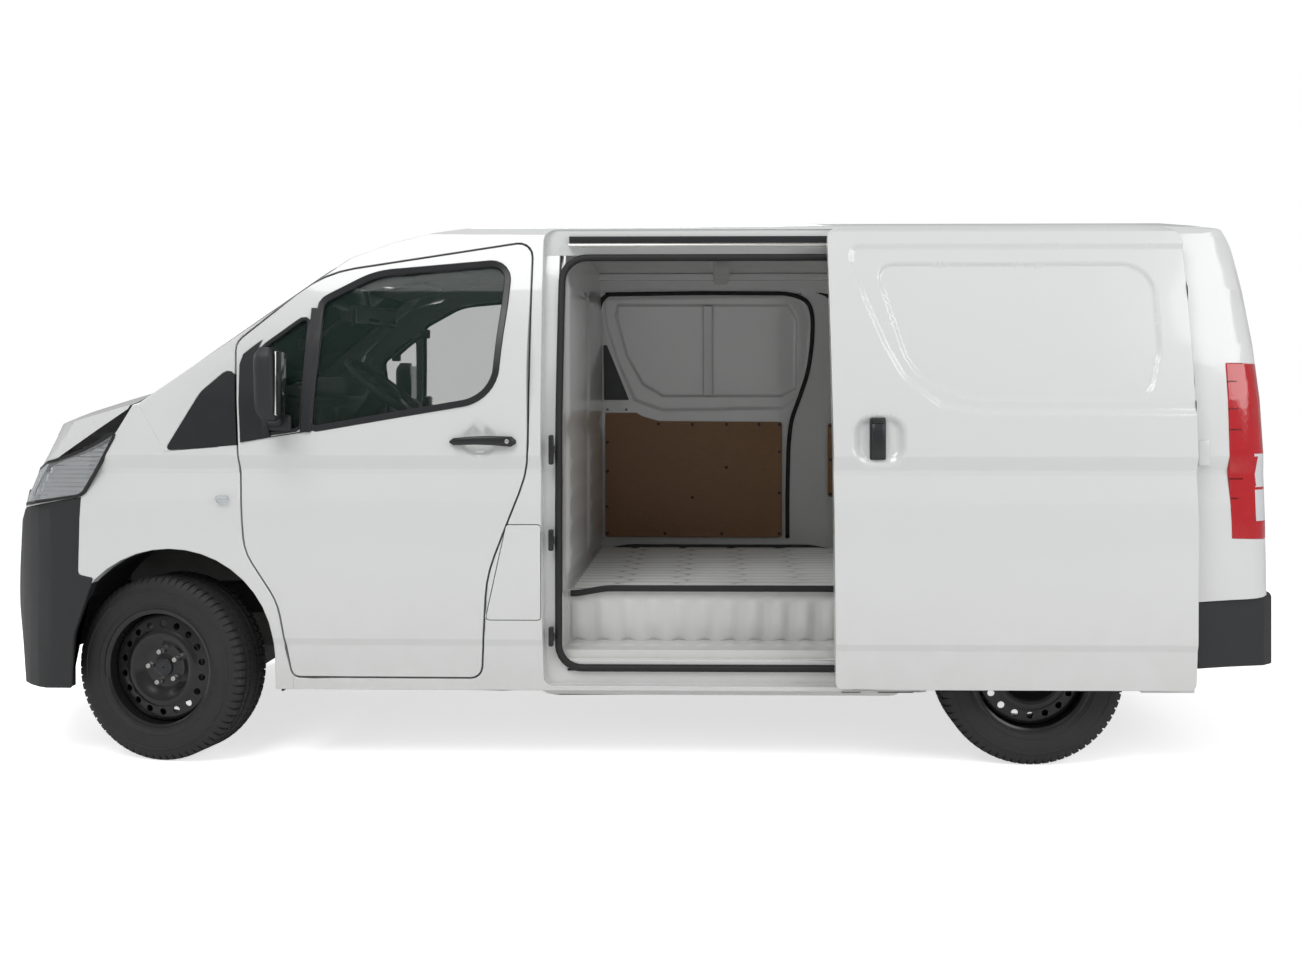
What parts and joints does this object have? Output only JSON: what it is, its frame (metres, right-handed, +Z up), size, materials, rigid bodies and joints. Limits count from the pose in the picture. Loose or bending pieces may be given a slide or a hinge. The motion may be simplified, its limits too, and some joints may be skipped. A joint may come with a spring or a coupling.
{
  "type": "panel van",
  "caption": "White semi-bonnet panel van with a low roof, its left sliding door open on a bare load space, front wheels turned slightly.",
  "frame": {"origin": "on the ground under the middle of the body, between the bumpers", "axes": "+X forward, +Y left, +Z up"},
  "size_m": [5.07, 2.224, 2.048],
  "materials": {
    "body_white": "glossy white paint",
    "inner_white": "satin white primer and paint inside",
    "black_plastic": "grained black plastic",
    "lamp_clear": "clear lens over a bright reflector",
    "lamp_red": "red lens with a clear band",
    "glass": "green tinted glass",
    "tyre": "road tread",
    "wheel_steel": "black painted steel",
    "chassis": "black chassis paint",
    "cast": "rough cast",
    "exhaust": "dull steel",
    "seat": "dark woven cloth",
    "dash": "dark grained plastic",
    "wood": "brown faced plywood",
    "rubber": "black rubber",
    "tank": "black moulded tank"
  },
  "bodies": {
    "van": {"windscreen": "glass", "roof_panel": "body_white", "body_side_left": "body_white", "body_side_right": "body_white", "front_wings": "body_white", "front_panel": "body_white", "front_bumper": "black_plastic", "headlamps": "lamp_clear", "sliding_door_left": "body_white", "sliding_door_right": "body_white", "cowl": "black_plastic", "rear_panel": "body_white", "bulkhead": "inner_white", "grille": "black_plastic", "rear_bumper": "black_plastic", "cab_floor": "inner_white", "cargo_floor": "inner_white", "step_wells": "inner_white", "chassis_frame": "chassis", "quarter_trims": "black_plastic", "tail_lamps": "lamp_red", "arch_liners": "black_plastic", "front_suspension": "chassis", "engine_block": "cast", "rear_axle": "chassis", "leaf_springs": "chassis", "fuel_tank": "tank", "exhaust": "exhaust", "spare_wheel": "tyre", "seats": "seat", "seat_bases": "chassis", "dashboard": "dash", "steering_wheel": "dash", "door_rails": "chassis", "lining_panels": "wood", "wipers": "black_plastic", "door_seal": "rubber"},
    "front_door_left_body": {"front_door_left": "body_white", "door_glass_left": "glass", "mirror_left": "black_plastic", "door_handle_left": "black_plastic"},
    "front_door_right_body": {"front_door_right": "body_white", "door_glass_right": "glass", "mirror_right": "black_plastic", "door_handle_right": "black_plastic"},
    "tailgate_body": {"tailgate": "body_white", "tailgate_glass": "glass"},
    "bonnet_body": {"bonnet": "body_white"},
    "fuel_flap_body": {"fuel_flap": "body_white"},
    "steering_left": {"knuckle_left": "cast"},
    "steering_right": {"knuckle_right": "cast"},
    "wheel_front_left": {"tyre_front_left": "tyre", "rim_front_left": "wheel_steel"},
    "wheel_front_right": {"tyre_front_right": "tyre", "rim_front_right": "wheel_steel"},
    "wheel_rear_left": {"tyre_rear_left": "tyre", "rim_rear_left": "wheel_steel"},
    "wheel_rear_right": {"tyre_rear_right": "tyre", "rim_rear_right": "wheel_steel"}
  },
  "joints": [
    {"name": "front_door_left_swing", "type": "hinge", "parent": "van", "child": "front_door_left_body", "pos_m": [1.405, 0.977, 0.4], "axis": [0, 0, -1], "range_deg": [0, 68]},
    {"name": "front_door_right_swing", "type": "hinge", "parent": "van", "child": "front_door_right_body", "pos_m": [1.405, -0.977, 0.4], "axis": [0, 0, 1], "range_deg": [0, 68]},
    {"name": "tailgate_lift", "type": "hinge", "parent": "van", "child": "tailgate_body", "pos_m": [-2.338, 0, 1.98], "axis": [0, 1, 0], "range_deg": [0, 85]},
    {"name": "bonnet_lift", "type": "hinge", "parent": "van", "child": "bonnet_body", "pos_m": [1.68, 0, 1.395], "axis": [0, -1, 0], "range_deg": [0, 50]},
    {"name": "fuel_flap_swing", "type": "hinge", "parent": "van", "child": "fuel_flap_body", "pos_m": [0.254, 0.975, 0.7], "axis": [0, 0, 1], "range_deg": [0, 85]},
    {"name": "steer_left", "type": "hinge", "parent": "van", "child": "steering_left", "pos_m": [1.655, 0.736, 0.343], "axis": [0, 0, 1], "range_deg": [-23, 47]},
    {"name": "steer_right", "type": "hinge", "parent": "van", "child": "steering_right", "pos_m": [1.655, -0.736, 0.343], "axis": [0, 0, 1], "range_deg": [-23, 47]},
    {"name": "wheel_front_left_spin", "type": "hinge", "parent": "steering_left", "child": "wheel_front_left", "pos_m": [1.67371, 0.82403, 0.343], "axis": [0.2079, 0.9781, 0], "continuous": true},
    {"name": "wheel_front_right_spin", "type": "hinge", "parent": "steering_right", "child": "wheel_front_right", "pos_m": [1.63629, -0.82403, 0.343], "axis": [0.2079, 0.9781, 0], "continuous": true},
    {"name": "wheel_rear_left_spin", "type": "hinge", "parent": "van", "child": "wheel_rear_left", "pos_m": [-1.55, 0.826, 0.343], "axis": [0, 1, 0], "continuous": true},
    {"name": "wheel_rear_right_spin", "type": "hinge", "parent": "van", "child": "wheel_rear_right", "pos_m": [-1.55, -0.826, 0.343], "axis": [0, 1, 0], "continuous": true}
  ],
  "couplings": [
    {"joint": "steer_right", "follows": "steer_left", "ratio": 1}
  ]
}
